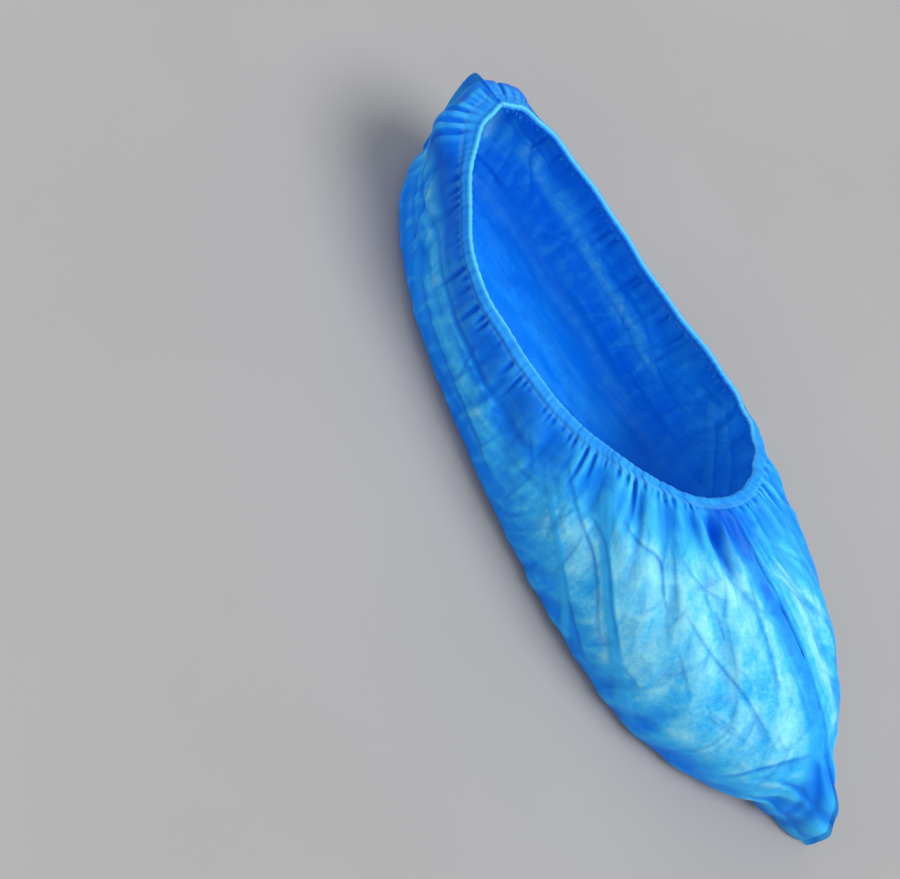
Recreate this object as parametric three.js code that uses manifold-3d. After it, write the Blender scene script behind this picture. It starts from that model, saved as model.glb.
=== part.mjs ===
// Disposable film shoe cover in its worn, filled-out form, standing on its sole.
// Millimetres, +Z up, toe towards -Y, heel towards +Y.
// The origin is on the floor, under the middle of the cover's box.
import * as THREE from 'three';
import Module from 'manifold-3d';

const wasm = await Module();
wasm.setup();

// Driving sizes
const columns = 104; // steps around the cover, and around its elastic
const wall = 1.0; // film wall
const edgeHeight = 9; // height of the widest line of the sides
const sideRound = 0.75; // below 1 the sides stand fuller over the sole
const topRound = 0.85; // below 1 the sides reach the hem's height sooner
const gatherCount = 26; // main gathers around the opening
const gatherDepth = 1.1; // gathers at their deepest, to each side
const gatherInHem = 0.45; // share of that depth inside the hem
const gatherFull = 12; // how far the gathers keep their depth below the hem
const gatherReach = 34; // how far the gathers run down from the hem
const hemGirth = 420; // length around the hem
const soleGirth = 700; // length around the widest line
const elasticRadius = 0.8;
const elasticGap = 0.4; // room around the elastic in its hem
const hemDrop = 6.4; // from the top of the hem to its welded line
const weldRound = 0.5; // rounding at the welded line
const weldHeight = 1.3; // height of the flat of the weld
const finHalf = 0.7; // half the thickness of the two welded films
const finTaper = 0.8; // share of that thickness at the fin's edge
const pathSteps = 24; // points along the film's path up a side
const arcSteps = 4; // steps of the hem's round top
const elasticSides = 6;

// One row for each meridian, evenly stepped around the cover from the toe by the right side.
// soleX, soleY: widest line of the side. hemX, hemY, hemZ: top of the hem.
// crown: degrees that the side turns through below the hem. gather: share of the gathers' depth.
const meridians = [
  { name: 'toe tip', soleX: 7, soleY: -136, hemX: -2, hemY: -15.5, hemZ: 72.5, crown: 86, gather: 1.0 },
  { name: 'toe right', soleX: 33, soleY: -116, hemX: 9, hemY: -17.5, hemZ: 72.3, crown: 84, gather: 1.0 },
  { name: 'ball right', soleX: 46, soleY: -72, hemX: 21.5, hemY: -13.5, hemZ: 70.8, crown: 76, gather: 1.0 },
  { name: 'instep right', soleX: 45, soleY: -24, hemX: 33, hemY: -0.5, hemZ: 69, crown: 62, gather: 0.8 },
  { name: 'waist right', soleX: 41, soleY: 20, hemX: 38.5, hemY: 22, hemZ: 64, crown: 50, gather: 0.6 },
  { name: 'mid right', soleX: 38.5, soleY: 62, hemX: 36.5, hemY: 63, hemZ: 57, crown: 46, gather: 0.5 },
  { name: 'heel right', soleX: 37, soleY: 101, hemX: 34, hemY: 101, hemZ: 55, crown: 46, gather: 0.5 },
  { name: 'heel corner right', soleX: 26, soleY: 138, hemX: 21.5, hemY: 137, hemZ: 59.5, crown: 50, gather: 0.7 },
  { name: 'heel back', soleX: 3, soleY: 154, hemX: 2.5, hemY: 149, hemZ: 64, crown: 54, gather: 0.8 },
  { name: 'heel corner left', soleX: -19.5, soleY: 138, hemX: -17, hemY: 137, hemZ: 58.5, crown: 50, gather: 0.7 },
  { name: 'heel left', soleX: -36, soleY: 100, hemX: -34, hemY: 101, hemZ: 50, crown: 46, gather: 0.5 },
  { name: 'mid left', soleX: -43, soleY: 62, hemX: -33.5, hemY: 66, hemZ: 50, crown: 50, gather: 0.6 },
  { name: 'waist left', soleX: -47, soleY: 22, hemX: -30.5, hemY: 35, hemZ: 55, crown: 56, gather: 0.7 },
  { name: 'instep left', soleX: -47.5, soleY: -24, hemX: -25, hemY: 12, hemZ: 64.5, crown: 64, gather: 0.9 },
  { name: 'ball left', soleX: -42, soleY: -72, hemX: -17.5, hemY: -2, hemZ: 69, crown: 76, gather: 1.0 },
  { name: 'toe left', soleX: -22, soleY: -113, hemX: -10.5, hemY: -10.5, hemZ: 71.2, crown: 84, gather: 1.0 },
];

// Under the widest line the film rolls in to the flat of the sole.
const soleRoll = [
  { inset: 8.5, height: 0 },
  { inset: 3.4, height: 1.5 },
  { inset: 0.8, height: 4.6 },
];

// Rows of the side, as distances down from the hem, and then even steps to the widest line.
const gatherRows = [3.5, 7, 12, 18, 26];
const lowerSteps = 7;

// Main folds: turn is the place around the cover at the fold's upper and lower end, from, peak and to are
// distances down from the hem, width is half the fold's width, and depth is inward (below 0, outward).
const folds = [
  { name: 'hollow under the hem front', turnTop: 0.94, turnLow: 0.955, from: 7, peak: 18, to: 54, width: 5, depth: 3.4 },
  { name: 'vamp fold right of the seam', turnTop: 0.045, turnLow: 0.035, from: 8, peak: 40, to: 110, width: 6, depth: 1.8 },
  { name: 'vamp fold outer right', turnTop: 0.11, turnLow: 0.085, from: 7, peak: 35, to: 96, width: 6, depth: 1.6 },
  { name: 'vamp fold left', turnTop: 0.9, turnLow: 0.93, from: 8, peak: 40, to: 120, width: 6, depth: 1.8 },
  { name: 'vamp fold outer left', turnTop: 0.855, turnLow: 0.885, from: 8, peak: 36, to: 104, width: 6, depth: 1.6 },
  { name: 'side fold left', turnTop: 0.79, turnLow: 0.835, from: 10, peak: 36, to: 80, width: 7, depth: 2.0 },
  { name: 'waist fold left', turnTop: 0.7, turnLow: 0.75, from: 7, peak: 26, to: 50, width: 8, depth: 2.4 },
  { name: 'waist fold right', turnTop: 0.29, turnLow: 0.24, from: 7, peak: 26, to: 50, width: 8, depth: 2.2 },
  { name: 'heel fold left', turnTop: 0.59, turnLow: 0.61, from: 7, peak: 24, to: 46, width: 6, depth: 1.8 },
  { name: 'heel fold right', turnTop: 0.41, turnLow: 0.39, from: 7, peak: 24, to: 46, width: 6, depth: 1.8 },
  { name: 'toe drawn out to the tail', turnTop: 0, turnLow: 0, from: 96, peak: 132, to: 153, width: 9, depth: -6 },
  { name: 'heel drawn out to the seam', turnTop: 0.5, turnLow: 0.5, from: 8, peak: 30, to: 54, width: 7, depth: -3 },
];

// Welded seams at toe and heel, where two films stand out as one fin.
// down: distance along the film from the hem, width: how far the fin stands out, lean: degrees to one side,
// level: share by which it is turned from square to the film to level.
const toeSeam = {
  turn: 0,
  fin: [
    { down: 8, width: 0.6, lean: 30, level: 0 },
    { down: 26, width: 2, lean: 30, level: 0 },
    { down: 60, width: 2.4, lean: 30, level: 0 },
    { down: 92, width: 2.8, lean: 26, level: 0 },
    { down: 108, width: 4, lean: 18, level: 0.4 },
    { down: 119, width: 7, lean: 14, level: 0.8 },
    { down: 129, width: 12, lean: 12, level: 1 },
    { down: 138, width: 18, lean: 12, level: 1 },
    { down: 145, width: 23, lean: 12, level: 1 },
    { down: 150, width: 25.5, lean: 12, level: 1 },
    { down: 154, width: 18, lean: 12, level: 1 },
    { down: 157, width: 8, lean: 12, level: 1 },
  ],
};
const heelSeam = {
  turn: 0.5,
  fin: [
    { down: 8, width: 3, lean: 0, level: 1 },
    { down: 14, width: 6.5, lean: -4, level: 1 },
    { down: 24, width: 8, lean: -6, level: 1 },
    { down: 38, width: 7, lean: -6, level: 1 },
    { down: 50, width: 4, lean: 0, level: 1 },
    { down: 55, width: 2.2, lean: 0, level: 1 },
  ],
};

const filmFinish = { color: 0x2f97ee, roughness: 0.42, metalness: 0 };
const elasticFinish = { color: 0x9fdcf6, roughness: 0.7, metalness: 0 };

const smooth = (edge0, edge1, value) => THREE.MathUtils.smoothstep(value, edge0, edge1);
const wrap = (index) => (index + columns) % columns;

// A closed curve through one set of the table's columns
function tableLoop(pick) {
  const points = meridians.map((row) => new THREE.Vector3(...pick(row)));
  return new THREE.CatmullRomCurve3(points, true, 'catmullrom', 0.5);
}

const soleLoop = tableLoop((row) => [row.soleX, row.soleY, edgeHeight]);
const hemLoop = tableLoop((row) => [row.hemX, row.hemY, row.hemZ]);
const traitLoop = tableLoop((row) => [row.gather, THREE.MathUtils.degToRad(row.crown), 0]);

// The film's path up one side, from the widest line to the hem
function sidePath(turn) {
  const low = soleLoop.getPoint(turn);
  const top = hemLoop.getPoint(turn);
  const crown = traitLoop.getPoint(turn).y;
  const leftOver = Math.cos(crown) ** sideRound;
  const points = [];
  for (let k = 0; k <= pathSteps; k += 1) {
    const angle = (k / pathSteps) * crown;
    const out = (Math.cos(angle) ** sideRound - leftOver) / (1 - leftOver);
    const rise = (Math.sin(angle) / Math.sin(crown)) ** topRound;
    const point = new THREE.Vector3().lerpVectors(top, low, out);
    point.z = edgeHeight + (top.z - edgeHeight) * rise;
    points.push(point);
  }
  return new THREE.CatmullRomCurve3(points, false, 'centripetal');
}

// A point of the roll under the widest line
function rollPoint(turn, inset, height) {
  const along = soleLoop.getTangent(turn);
  const inward = new THREE.Vector3(-along.y, along.x, 0).normalize();
  const point = soleLoop.getPoint(turn).addScaledVector(inward, inset);
  point.z = height;
  return point;
}

// Smooth rows from the sole to the hem: each row is a ring of points, with its distance below the hem
function smoothRows() {
  const rows = soleRoll.map(() => []);
  const sideCount = lowerSteps + gatherRows.length + 1;
  for (let k = 0; k < sideCount; k += 1) rows.push([]);
  for (let j = 0; j < columns; j += 1) {
    const turn = j / columns;
    const path = sidePath(turn);
    const length = path.getLength();
    const topStretch = path.getPointAt(1).sub(path.getPointAt(1 - gatherRows[2] / length)).normalize();
    const slant = topStretch.cross(hemLoop.getTangent(turn)).length();
    const upper = gatherRows.map((down) => down / slant);
    const downs = [];
    for (let k = 0; k < lowerSteps; k += 1) {
      downs.push(length - ((length - upper[upper.length - 1]) * k) / lowerSteps);
    }
    downs.push(...upper.reverse(), 0);
    soleRoll.forEach(({ inset, height }, k) => {
      rows[k].push({ point: rollPoint(turn, inset, height), down: length + inset });
    });
    downs.forEach((down, k) => {
      rows[soleRoll.length + k].push({ point: path.getPointAt(1 - down / length), down });
    });
  }
  return rows;
}

// Outward direction of the film at a point of the rows
function outward(rows, i, j) {
  const at = (row, column) => rows[THREE.MathUtils.clamp(row, 0, rows.length - 1)][wrap(column)].point;
  const along = at(i, j + 1).clone().sub(at(i, j - 1));
  const up = at(i + 1, j).clone().sub(at(i - 1, j));
  return along.cross(up).normalize();
}

// How far the film stands in or out of its smooth form
function relief(turn, down) {
  const strength = traitLoop.getPoint(turn).x * gatherDepth;
  const below = 1 - smooth(gatherFull, gatherReach, down);
  const fade = below * THREE.MathUtils.lerp(gatherInHem, 1, smooth(hemDrop, gatherFull, down));
  let height = strength * fade * Math.cos(2 * Math.PI * gatherCount * turn);
  for (const fold of folds) {
    const share = THREE.MathUtils.clamp((down - fold.from) / (fold.to - fold.from), 0, 1);
    const place = THREE.MathUtils.lerp(fold.turnTop, fold.turnLow, share);
    let aside = turn - place;
    aside -= Math.round(aside);
    const across = (aside * THREE.MathUtils.lerp(hemGirth, soleGirth, share)) / fold.width;
    const window = smooth(fold.from, fold.peak, down) * (1 - smooth(fold.peak, fold.to, down));
    height -= fold.depth * window * Math.exp(-across * across);
  }
  return height;
}

// Frame of the hem at each column: top point, direction in from the film and direction down along it,
// both square to the hem's own line
function hemFrames(rows) {
  const last = rows.length - 1;
  return rows[last].map(({ point }, j) => {
    const inward = outward(rows, last, j).negate();
    const along = rows[last][wrap(j + 1)].point.clone().sub(rows[last][wrap(j - 1)].point).normalize();
    const downward = inward.clone().cross(along).normalize();
    const lift = relief(j / columns, 0);
    return { top: point.clone().addScaledVector(inward, -lift), inward, downward };
  });
}

// The hem folds in over the elastic and comes back to the wall at its welded line
const channel = elasticRadius + elasticGap;
const hemRadius = channel + wall;
function hemSection() {
  const arc = (radius, from, to) =>
    Array.from({ length: arcSteps + 1 }, (_, k) => {
      const angle = from + ((to - from) * k) / arcSteps;
      return [hemRadius - radius * Math.cos(angle), hemRadius - radius * Math.sin(angle)];
    });
  const outer = arc(hemRadius, 0, Math.PI);
  const inner = arc(channel, Math.PI, 0);
  const pastElastic = hemRadius + elasticRadius;
  const weld = [
    [hemRadius * 2, pastElastic],
    [wall + elasticGap + wall, hemDrop - weldRound],
    [wall + elasticGap + wall / 2, hemDrop],
    [wall + elasticGap, hemDrop - weldRound],
    [wall + elasticGap, hemDrop - weldHeight],
    [hemRadius + channel, pastElastic],
  ];
  return [...outer, ...weld, ...inner];
}

const placeInHem = (frame, inset, drop) =>
  frame.top.clone().addScaledVector(frame.inward, inset).addScaledVector(frame.downward, drop);

// Triangles of a flat ring, all turned the same way
function flatFaces(ring, faceUp) {
  const contour = ring.map((point) => new THREE.Vector2(point.x, point.y));
  return THREE.ShapeUtils.triangulateShape(contour, []).map(([a, b, c]) => {
    const turnsLeft = contour[b].clone().sub(contour[a]).cross(contour[c].clone().sub(contour[a])) > 0;
    return turnsLeft === faceUp ? [a, b, c] : [a, c, b];
  });
}

// A solid from rings of points, closed between neighbours around each ring
function ringFaces(rings, closed) {
  const faces = [];
  const size = rings[0].length;
  const spans = closed ? rings.length : rings.length - 1;
  for (let i = 0; i < spans; i += 1) {
    const lower = i * size;
    const upper = ((i + 1) % rings.length) * size;
    for (let j = 0; j < size; j += 1) {
      const next = (j + 1) % size;
      faces.push([lower + j, lower + next, upper + next], [lower + j, upper + next, upper + j]);
    }
  }
  return faces;
}

function solid(points, faces) {
  const vertProperties = Float32Array.from(points.flatMap((point) => [point.x, point.y, point.z]));
  const triVerts = Uint32Array.from(faces.flat());
  return new wasm.Manifold(new wasm.Mesh({ numProp: 3, vertProperties, triVerts }));
}

// The bag: outer film, folded hem, inner film, and the flat of the sole outside and inside
function filmShell(rows, frames) {
  const rings = rows.map(() => []);
  const innerRings = rows.map(() => []);
  const belowHem = rows.length - 1;
  rows.forEach((row, i) => {
    row.forEach(({ point, down }, j) => {
      const normal = i === 0 ? new THREE.Vector3(0, 0, -1) : outward(rows, i, j);
      const height = i === 0 ? 0 : relief(j / columns, down);
      rings[i].push(point.clone().addScaledVector(normal, height));
      innerRings[i].push(point.clone().addScaledVector(normal, height - wall));
    });
  });
  const rim = hemSection().map(([inset, drop]) => frames.map((frame) => placeInHem(frame, inset, drop)));
  const section = [...rings.slice(0, belowHem), ...rim, ...innerRings.slice(0, belowHem).reverse()];
  const faces = ringFaces(section, false);
  faces.push(...flatFaces(rings[0], false));
  const innerFloor = (section.length - 1) * columns;
  for (const face of flatFaces(innerRings[0], true)) {
    faces.push(face.map((corner) => corner + innerFloor));
  }
  return solid(section.flat(), faces);
}

// The film's own line down a seam: its place and outward direction at a distance below the hem
function seamLine(rows, column) {
  const line = rows.map((row, i) => {
    const { point, down } = row[column];
    const normal = outward(rows, i, column);
    const height = i === 0 ? 0 : relief(column / columns, down);
    return { down, normal, point: point.clone().addScaledVector(normal, height) };
  });
  return (down) => {
    const upper = line.findIndex((spot) => spot.down <= down);
    const [high, low] = [line[upper], line[upper - 1]];
    const share = (down - high.down) / (low.down - high.down);
    return {
      point: high.point.clone().lerp(low.point, share),
      normal: high.normal.clone().lerp(low.normal, share).normalize(),
      along: high.point.clone().sub(low.point).normalize(),
    };
  };
}

// A fin of two welded films along a seam, rooted in the middle of the wall
function seamFin(rows, { turn, fin }) {
  const lineAt = seamLine(rows, Math.round(turn * columns));
  const sections = fin.map(({ down, width, lean, level }) => {
    const { point, normal, along } = lineAt(down);
    const root = point.clone().addScaledVector(normal, -wall / 2);
    const flat = normal.clone().setZ(normal.z * (1 - level)).normalize();
    const reach = flat.applyAxisAngle(along, THREE.MathUtils.degToRad(lean));
    const side = along.clone().cross(reach).normalize();
    const tip = root.clone().addScaledVector(reach, width + wall / 2);
    return [
      root.clone().addScaledVector(side, -finHalf),
      root.clone().addScaledVector(side, finHalf),
      tip.clone().addScaledVector(side, finHalf * finTaper),
      tip.clone().addScaledVector(side, -finHalf * finTaper),
    ];
  });
  const faces = ringFaces(sections, false);
  const last = (sections.length - 1) * 4;
  faces.push([0, 3, 2], [0, 2, 1], [last, last + 1, last + 2], [last, last + 2, last + 3]);
  return solid(sections.flat(), faces);
}

// The elastic: a round thread that follows the hem all the way round
function elasticRing(frames) {
  const rings = Array.from({ length: elasticSides }, (_, k) => {
    const angle = (2 * Math.PI * k) / elasticSides;
    const inset = hemRadius - elasticRadius * Math.cos(angle);
    const drop = hemRadius - elasticRadius * Math.sin(angle);
    return frames.map((frame) => placeInHem(frame, inset, drop));
  });
  return solid(rings.flat(), ringFaces(rings, true));
}

function namedMesh(name, body, finish) {
  const { vertProperties, triVerts } = body.getMesh();
  const geometry = new THREE.BufferGeometry();
  geometry.setAttribute('position', new THREE.BufferAttribute(Float32Array.from(vertProperties), 3));
  geometry.setIndex(new THREE.BufferAttribute(Uint32Array.from(triVerts), 1));
  geometry.computeVertexNormals();
  const mesh = new THREE.Mesh(geometry, new THREE.MeshStandardMaterial(finish));
  mesh.name = name;
  return mesh;
}

const rows = smoothRows();
const frames = hemFrames(rows);
const filmCover = filmShell(rows, frames).add(seamFin(rows, toeSeam)).add(seamFin(rows, heelSeam));

const shoeCover = new THREE.Group();
shoeCover.add(namedMesh('film_cover', filmCover, filmFinish));
shoeCover.add(namedMesh('elastic', elasticRing(frames), elasticFinish));

export default shoeCover;
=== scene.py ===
import math
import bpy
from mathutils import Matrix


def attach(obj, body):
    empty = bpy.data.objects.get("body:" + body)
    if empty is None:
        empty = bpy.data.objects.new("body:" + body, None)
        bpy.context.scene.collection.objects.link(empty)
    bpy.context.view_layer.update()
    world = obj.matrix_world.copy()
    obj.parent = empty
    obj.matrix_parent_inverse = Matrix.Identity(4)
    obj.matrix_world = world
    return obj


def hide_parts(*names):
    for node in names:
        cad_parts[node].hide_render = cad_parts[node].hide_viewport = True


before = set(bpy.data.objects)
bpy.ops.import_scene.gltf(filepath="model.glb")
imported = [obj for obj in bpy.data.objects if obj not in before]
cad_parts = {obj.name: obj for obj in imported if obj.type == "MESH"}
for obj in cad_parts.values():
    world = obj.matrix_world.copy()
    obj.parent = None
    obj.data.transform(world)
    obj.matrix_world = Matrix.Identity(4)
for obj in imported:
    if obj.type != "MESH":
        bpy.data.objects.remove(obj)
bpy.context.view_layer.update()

from types import SimpleNamespace

import bpy
import numpy as np
from mathutils import Euler, Matrix, Vector

mm = 0.001

# The worn form, in mm. One row for each meridian, evenly stepped around the cover from the toe by the
# right side: widest line of the side (x, y), top of the hem (x, y, z), degrees that the side turns
# through below the hem, and share of the gathers' depth.
form = {
    "meridians": {
        "toe tip": (7, -136, -2, -15.5, 72.5, 86, 1.0),
        "toe right": (33, -116, 9, -17.5, 72.3, 84, 1.0),
        "ball right": (46, -72, 21.5, -13.5, 70.8, 76, 1.0),
        "instep right": (45, -24, 33, -0.5, 69, 62, 0.8),
        "waist right": (41, 20, 38.5, 22, 64, 50, 0.6),
        "mid right": (38.5, 62, 36.5, 63, 57, 46, 0.5),
        "heel right": (37, 101, 34, 101, 55, 46, 0.5),
        "heel corner right": (26, 138, 21.5, 137, 59.5, 50, 0.7),
        "heel back": (3, 154, 2.5, 149, 64, 54, 0.8),
        "heel corner left": (-19.5, 138, -17, 137, 58.5, 50, 0.7),
        "heel left": (-36, 100, -34, 101, 50, 46, 0.5),
        "mid left": (-43, 62, -33.5, 66, 50, 50, 0.6),
        "waist left": (-47, 22, -30.5, 35, 55, 56, 0.7),
        "instep left": (-47.5, -24, -25, 12, 64.5, 64, 0.9),
        "ball left": (-42, -72, -17.5, -2, 69, 76, 1.0),
        "toe left": (-22, -113, -10.5, -10.5, 71.2, 84, 1.0),
    },
    "edgeHeight": 9,
    "sideRound": 0.75,
    "topRound": 0.85,
    "pathSteps": 140,
    "soleRoll": ((0, 9), (0.8, 4.6), (3.4, 1.5), (8.5, 0)),   # inset and height below the widest line
    "spine": (-104, 120),     # bottom fold of the flat bag under the sole, from y to y
    "spineX": (5.0, 1.5),     # its x at the toe, and from the middle back
    "spineBend": -110,        # y at which the toe's x is reached
    "spineSpread": 0.06,      # even share of its steps, so that no face is empty at its ends
}

formTable = np.array(list(form["meridians"].values()), float)
widestXY = slice(0, 2)
hemXYZ = slice(2, 5)


def smooth(edge0, edge1, value):
    share = np.clip((value - edge0) / (edge1 - edge0), 0, 1)
    return share * share * (3 - 2 * share)


def between(rise, fall, value):
    # 1 from the end of the rise to the start of the fall, and 0 outside them
    return smooth(*rise, value) * (1 - smooth(*fall, value))


def bell(away, width):
    return np.exp(-(away / width) ** 2)


def unit(vectors):
    return vectors / (np.linalg.norm(vectors, axis=-1, keepdims=True) + 1e-12)


def loopAt(turn):
    # closed curve through the meridian rows, all columns at once
    count = len(formTable)
    place = (turn % 1.0) * count
    index = np.floor(place).astype(int)
    t = (place - index)[:, None]
    a, b, c, d = (formTable[(index + k) % count] for k in (-1, 0, 1, 2))
    bend = 2 * a - 5 * b + 4 * c - d
    twist = 3 * b - 3 * c + d - a
    return 0.5 * (2 * b + (c - a) * t + bend * t ** 2 + twist * t ** 3)


def loopStep(turn, step, columns):
    # direction along the loop at each turn
    return loopAt(turn + step)[:, columns] - loopAt(turn - step)[:, columns]


def sidePaths(turn):
    # the film's path from the hem down to the widest line, with the distance along it
    row = loopAt(turn)
    crown = np.radians(row[:, 5:6])
    angle = np.linspace(1, 0, form["pathSteps"])[None, :] * crown
    leftOver = np.cos(crown) ** form["sideRound"]
    out = (np.cos(angle) ** form["sideRound"] - leftOver) / (1 - leftOver)
    rise = (np.sin(angle) / np.sin(crown)) ** form["topRound"]
    x = row[:, 2:3] + (row[:, 0:1] - row[:, 2:3]) * out
    y = row[:, 3:4] + (row[:, 1:2] - row[:, 3:4]) * out
    z = form["edgeHeight"] + (row[:, 4:5] - form["edgeHeight"]) * rise
    points = np.stack([x, y, z], -1)
    steps = np.linalg.norm(np.diff(points, axis=1), axis=2)
    down = np.concatenate([np.zeros((len(turn), 1)), np.cumsum(steps, 1)], 1)
    return points, down


# Film: two layers of one folded sheet, welded to each other at the toe and the heel
film = {
    "layers": {"film_layer_right": 0.0, "film_layer_left": 0.5},     # turn at which each layer starts
    "bodyColumns": 556,
    "hemStart": 4.4,          # where the hem's roll leaves the side
    "fineReach": 22,          # closely spaced rows end here
    "fineRows": 32,
    "sideRows": 96,
    "rollRows": 7,
    "soleRows": 9,
    "turnStep": 0.0008,       # turn to either side for the directions on the sheet
    "lowest": 0.12,           # the film's height above the floor
    "doubledRise": 0.3,       # how far doubled film stands out
}

# Welded seams: columns out along the seam, then distance down, how far the two films stand out,
# lean in degrees and share turned to level
toeSeam = {
    "columns": 16,
    "fin": ((0, 0.2, 40, 0), (8, 0.5, 50, 0), (26, 0.8, 50, 0), (60, 0.9, 50, 0), (92, 1.1, 45, 0),
            (108, 1.5, 40, 0.4), (119, 1.8, 35, 0.8), (129, 2, 25, 1), (138, 2.2, 15, 1), (146, 2.4, 5, 1),
            (152, 2.6, 0, 1), (158, 2.6, 0, 1), (162, 2.2, 0, 1), (168, 0.4, 0, 1), (400, 0.05, 0, 1)),
}
heelSeam = {
    "columns": 12,
    "fin": ((0, 0.4, -15, 1), (4, 1.2, -15, 1), (9, 2.6, -15, 1), (16, 4.2, -12, 1), (26, 5, -8, 1),
            (38, 4.4, -6, 1), (48, 3.2, 0, 1), (55, 2.2, 0, 1), (60, 0.4, 0, 1), (400, 0.05, 0, 1)),
}


def layerColumns(start):
    # columns of a layer from the edge of one welded seam to the edge of the other: turn, share of the way
    # out along a seam, side of it, and the columns of each seam
    first, last = (toeSeam, heelSeam) if start == 0 else (heelSeam, toeSeam)
    before = first["columns"]
    after = last["columns"]
    body = film["bodyColumns"]
    inner = (np.arange(body) + 0.7) / (body + 0.4)
    layer = SimpleNamespace()
    layer.turns = np.concatenate([np.full(before, start), start + 0.5 * inner, np.full(after, start + 0.5)])
    layer.share = np.concatenate([np.linspace(1, 0, before), np.zeros(body), np.linspace(0, 1, after)])
    layer.side = np.concatenate([np.full(before, 1), np.zeros(body), np.full(after, -1)])
    layer.seams = ((first, np.arange(before)), (last, np.arange(after) + before + body))
    return layer


def soleSpine(turn):
    # the sheet's fold under the sole, where both layers meet
    along = np.abs(((turn + 0.5) % 1.0) - 0.5) * 2
    spread = form["spineSpread"]
    along = (1 - spread) * smooth(0.06, 0.94, along) + spread * along
    front, back = form["spine"]
    toeX, backX = form["spineX"]
    y = front + (back - front) * along
    return np.column_stack([backX + (toeX - backX) * smooth(0, form["spineBend"], y), y])


def sheetRows(turn):
    # smooth sheet below the hem's roll: points (row, column, xyz) and distance down from the hem
    points, down = sidePaths(turn)
    length = down[:, -1]
    topStretch = unit(points[:, 0] - points[:, form["pathSteps"] // 12])
    slant = np.linalg.norm(np.cross(topStretch, unit(loopStep(turn, 0.002, hemXYZ))), axis=1)
    start = film["hemStart"] / slant
    reach = film["fineReach"] / slant
    fine = np.linspace(0, 1, film["fineRows"])[:, None]
    low = np.linspace(0, 1, film["sideRows"] + 1)[1:, None]
    downs = np.concatenate([start + (reach - start) * fine, reach + (length - reach) * low])
    rows = np.empty(downs.shape + (3,))
    for j in range(len(turn)):
        for axis in range(3):
            rows[:, j, axis] = np.interp(downs[:, j], down[j], points[j, :, axis])
    # roll under the widest line
    step = loopStep(turn, 0.001, widestXY)
    inward = unit(np.stack([-step[:, 1], step[:, 0]], -1))
    widest = loopAt(turn)[:, widestXY]
    rollInset, rollHeight = np.array(form["soleRoll"], float).T
    knots = np.linspace(0, 1, len(rollInset))
    under = []
    underDown = []
    for share in np.linspace(0, 1, film["rollRows"] + 1)[1:]:
        inset = np.interp(share, knots, rollInset)
        height = np.interp(share, knots, rollHeight)
        under.append(np.column_stack([widest + inward * inset, np.full(len(turn), height)]))
        underDown.append(length + inset + form["edgeHeight"] - height)
    # sole, from the roll to the sheet's fold in the middle
    rim = under[-1][:, :2]
    rimDown = underDown[-1]
    spine = soleSpine(turn)
    for share in np.linspace(0, 1, film["soleRows"] + 1)[1:]:
        flat = rim + (spine - rim) * share
        under.append(np.column_stack([flat, np.zeros(len(turn))]))
        underDown.append(rimDown + np.linalg.norm(flat - rim, axis=1))
    return np.concatenate([rows, np.array(under)]), np.concatenate([downs, np.array(underDown)])


# Zones of a layer: the turns over which a flank sets in and ends, and the loose toe in mm
zones = {
    "rightFlank": ((0.2, 0.27), (0.43, 0.47)),
    "leftFlank": ((0.53, 0.57), (0.72, 0.79)),
    "toeDown": (102, 118),
    "toeWidth": 34,
}


def smoothLayer(start):
    # one layer before its folds, with the places and directions on it that the folds are worked out from
    layer = layerColumns(start)
    turns = layer.turns
    layer.rows, layer.down = sheetRows(turns)
    later, _ = sheetRows(turns + film["turnStep"])
    earlier, _ = sheetRows(turns - film["turnStep"])
    along = later - earlier
    downward = np.gradient(layer.rows, axis=0)
    layer.widestRow = film["fineRows"] + film["sideRows"] - 1
    layer.soleRow = layer.widestRow + 1 + film["rollRows"]
    normal = np.cross(downward, along)
    normal[layer.soleRow - 1:] = (0, 0, -1)
    layer.normal = unit(normal)
    layer.firstDown = unit(downward[0])
    layer.metric = np.linalg.norm(along, axis=2) / (2 * film["turnStep"]) + 1e-6     # mm for a whole turn
    fineTurn = np.linspace(0, 1, 4001)
    hemSteps = np.linalg.norm(np.diff(loopAt(fineTurn)[:, hemXYZ], axis=0), axis=1)
    hemRun = np.concatenate([[0], np.cumsum(hemSteps)])
    layer.hemTotal = hemRun[-1]
    layer.hemPlace = np.interp(turns, fineTurn, hemRun)
    layer.strength = loopAt(turns)[:, 6]
    layer.turn = np.broadcast_to(turns, layer.down.shape)
    layer.place = np.broadcast_to(layer.hemPlace, layer.down.shape)
    layer.fromSeam = (layer.turn - np.round(layer.turn)) * layer.metric
    layer.looseToe = smooth(*zones["toeDown"], layer.down) * bell(layer.fromSeam, zones["toeWidth"])
    layer.flank = between(*zones["rightFlank"], layer.turn) + between(*zones["leftFlank"], layer.turn)
    return layer


def latticeNoise(a, b, seed):
    # smooth noise, 0 to 1, on a repeating lattice
    table = np.random.default_rng(seed).random((128, 128))
    ia = np.floor(a).astype(int)
    ib = np.floor(b).astype(int)
    fa = smooth(0, 1, a - ia)
    fb = smooth(0, 1, b - ib)
    corner = [[table[(ia + p) % 128, (ib + q) % 128] for q in (0, 1)] for p in (0, 1)]
    low = corner[0][0] * (1 - fb) + corner[0][1] * fb
    high = corner[1][0] * (1 - fb) + corner[1][1] * fb
    return low * (1 - fa) + high * fa


def filmNoise(layer, around, below, seed):
    # the same noise on the film, with its sizes in mm around the hem and down
    return latticeNoise(layer.place / around, layer.down / below, seed)


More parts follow.
